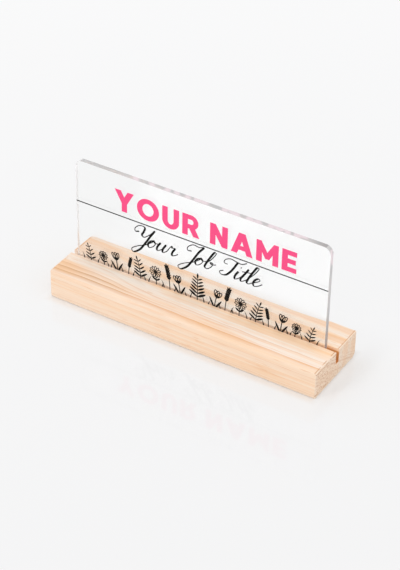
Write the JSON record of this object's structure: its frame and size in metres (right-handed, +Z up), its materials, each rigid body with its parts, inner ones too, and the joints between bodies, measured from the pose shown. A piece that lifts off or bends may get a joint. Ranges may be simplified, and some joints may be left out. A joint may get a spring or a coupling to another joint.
{
  "type": "desk name plate",
  "caption": "Clear upright plate that stands in a groove sawn along a low softwood block and lifts out of it, for a printed name on a desk.",
  "frame": {"origin": "middle of the block's underside", "axes": "+X along the block to the right-hand end as the plate is read, +Y to the back, +Z up"},
  "size_m": [0.231, 0.061, 0.109],
  "materials": {
    "softwood": "sanded, unvarnished pale pine",
    "clear_acrylic": "clear, with polished faces and edges",
    "black_ink": "cured printing ink, satin",
    "pink_ink": "cured printing ink, satin, for the name"
  },
  "bodies": {
    "block": {"wood_block": "softwood"},
    "plate": {"clear_plate": "clear_acrylic", "printed_rule": "black_ink"}
  },
  "joints": [
    {"name": "plate_lift", "type": "slide", "parent": "block", "child": "plate", "axis": [0, 0, 1], "range_m": [0, 0.014]}
  ]
}
